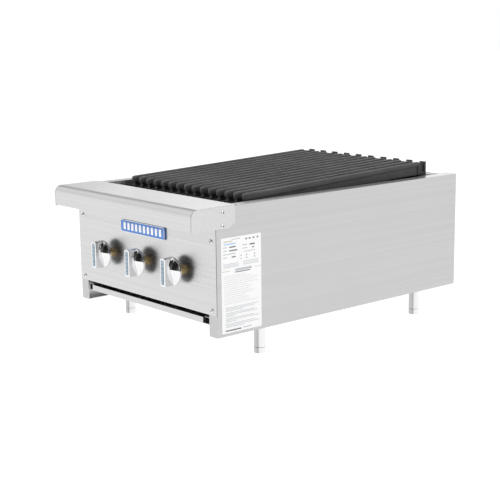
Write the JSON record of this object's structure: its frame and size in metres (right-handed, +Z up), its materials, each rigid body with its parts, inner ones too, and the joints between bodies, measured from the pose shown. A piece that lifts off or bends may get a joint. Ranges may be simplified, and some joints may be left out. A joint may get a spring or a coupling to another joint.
{
  "type": "charbroiler grill",
  "caption": "Countertop gas charbroiler with sloping cast-iron grates, a rolled front ledge, chrome knobs, a pull-out drip tray and levelling feet.",
  "frame": {"origin": "on the floor below the middle of the bounding box", "axes": "+X across to the operator's right, +Y from the front to the back, +Z up"},
  "size_m": [0.4636, 0.758, 0.324],
  "materials": {
    "stainless": "brushed satin",
    "inner_steel": "mill finish",
    "screw_steel": "bright",
    "leg_steel": "polished",
    "badge": "gloss enamel with a white rim",
    "label": "satin foil",
    "black_steel": "dark mill scale",
    "cast_iron": "seasoned, fine cast texture",
    "burner_steel": "aluminised, dull",
    "brass": "machined",
    "tube_aluminium": "drawn",
    "chrome": "polished",
    "knob_print": "printed foil"
  },
  "bodies": {
    "body": {"left_side_panel": "stainless", "right_side_panel": "stainless", "rear_panel": "stainless", "rear_deck": "stainless", "front_panel": "stainless", "front_ledge": "stainless", "ledge_left_cap": "stainless", "ledge_right_cap": "stainless", "left_liner": "inner_steel", "right_liner": "inner_steel", "front_baffle": "inner_steel", "rear_baffle": "inner_steel", "rest_brackets": "inner_steel", "tray_rails": "inner_steel", "ledge_screws": "screw_steel", "panel_screws": "screw_steel", "legs": "leg_steel", "nameplate": "badge", "rating_label": "label", "front_grate_rest": "black_steel", "rear_grate_rest": "black_steel", "radiant_rests": "black_steel", "burner_rest": "black_steel", "manifold": "black_steel", "gas_elbow": "black_steel", "supply_pipe": "black_steel", "radiant_1": "cast_iron", "radiant_2": "cast_iron", "radiant_3": "cast_iron", "burner_1": "burner_steel", "burner_2": "burner_steel", "burner_3": "burner_steel", "valve_1": "brass", "valve_2": "brass", "valve_3": "brass", "orifice_hoods": "brass", "pilot_valves": "brass", "pilot_tubes": "tube_aluminium"},
    "grate_section_1": {"grate_1": "cast_iron"},
    "grate_section_2": {"grate_2": "cast_iron"},
    "grate_section_3": {"grate_3": "cast_iron"},
    "grate_section_4": {"grate_4": "cast_iron"},
    "grate_section_5": {"grate_5": "cast_iron"},
    "knob_assembly_1": {"knob_1": "chrome", "knob_strip_1": "knob_print", "valve_stem_1": "brass"},
    "shutter_1": {"air_shutter_1": "burner_steel"},
    "knob_assembly_2": {"knob_2": "chrome", "knob_strip_2": "knob_print", "valve_stem_2": "brass"},
    "shutter_2": {"air_shutter_2": "burner_steel"},
    "knob_assembly_3": {"knob_3": "chrome", "knob_strip_3": "knob_print", "valve_stem_3": "brass"},
    "shutter_3": {"air_shutter_3": "burner_steel"},
    "tray": {"drip_tray": "stainless"},
    "leveller_front_left": {"foot_front_left": "leg_steel"},
    "leveller_front_right": {"foot_front_right": "leg_steel"},
    "leveller_rear_left": {"foot_rear_left": "leg_steel"},
    "leveller_rear_right": {"foot_rear_right": "leg_steel"}
  },
  "joints": [
    {"name": "knob_1_turn", "type": "hinge", "parent": "body", "child": "knob_assembly_1", "pos_m": [-0.117, -0.323, 0.165], "axis": [0, -1, 0], "range_deg": [0, 90]},
    {"name": "knob_2_turn", "type": "hinge", "parent": "body", "child": "knob_assembly_2", "pos_m": [0, -0.323, 0.165], "axis": [0, -1, 0], "range_deg": [0, 90]},
    {"name": "knob_3_turn", "type": "hinge", "parent": "body", "child": "knob_assembly_3", "pos_m": [0.117, -0.323, 0.165], "axis": [0, -1, 0], "range_deg": [0, 90]},
    {"name": "air_shutter_1_turn", "type": "hinge", "parent": "body", "child": "shutter_1", "pos_m": [-0.117, -0.263, 0.165], "axis": [0, -1, 0], "range_deg": [0, 45]},
    {"name": "air_shutter_2_turn", "type": "hinge", "parent": "body", "child": "shutter_2", "pos_m": [0, -0.263, 0.165], "axis": [0, -1, 0], "range_deg": [0, 45]},
    {"name": "air_shutter_3_turn", "type": "hinge", "parent": "body", "child": "shutter_3", "pos_m": [0.117, -0.263, 0.165], "axis": [0, -1, 0], "range_deg": [0, 45]},
    {"name": "grate_1_lift", "type": "slide", "parent": "body", "child": "grate_section_1", "axis": [0, 0, 1], "range_m": [0, 0.12]},
    {"name": "grate_2_lift", "type": "slide", "parent": "body", "child": "grate_section_2", "axis": [0, 0, 1], "range_m": [0, 0.12]},
    {"name": "grate_3_lift", "type": "slide", "parent": "body", "child": "grate_section_3", "axis": [0, 0, 1], "range_m": [0, 0.12]},
    {"name": "grate_4_lift", "type": "slide", "parent": "body", "child": "grate_section_4", "axis": [0, 0, 1], "range_m": [0, 0.12]},
    {"name": "grate_5_lift", "type": "slide", "parent": "body", "child": "grate_section_5", "axis": [0, 0, 1], "range_m": [0, 0.12]},
    {"name": "drip_tray_slide", "type": "slide", "parent": "body", "child": "tray", "axis": [0, -1, 0], "range_m": [0, 0.6]},
    {"name": "foot_front_left_screw", "type": "slide", "parent": "body", "child": "leveller_front_left", "axis": [0, 0, -1], "range_m": [0, 0.025]},
    {"name": "foot_front_right_screw", "type": "slide", "parent": "body", "child": "leveller_front_right", "axis": [0, 0, -1], "range_m": [0, 0.025]},
    {"name": "foot_rear_left_screw", "type": "slide", "parent": "body", "child": "leveller_rear_left", "axis": [0, 0, -1], "range_m": [0, 0.025]},
    {"name": "foot_rear_right_screw", "type": "slide", "parent": "body", "child": "leveller_rear_right", "axis": [0, 0, -1], "range_m": [0, 0.025]}
  ]
}
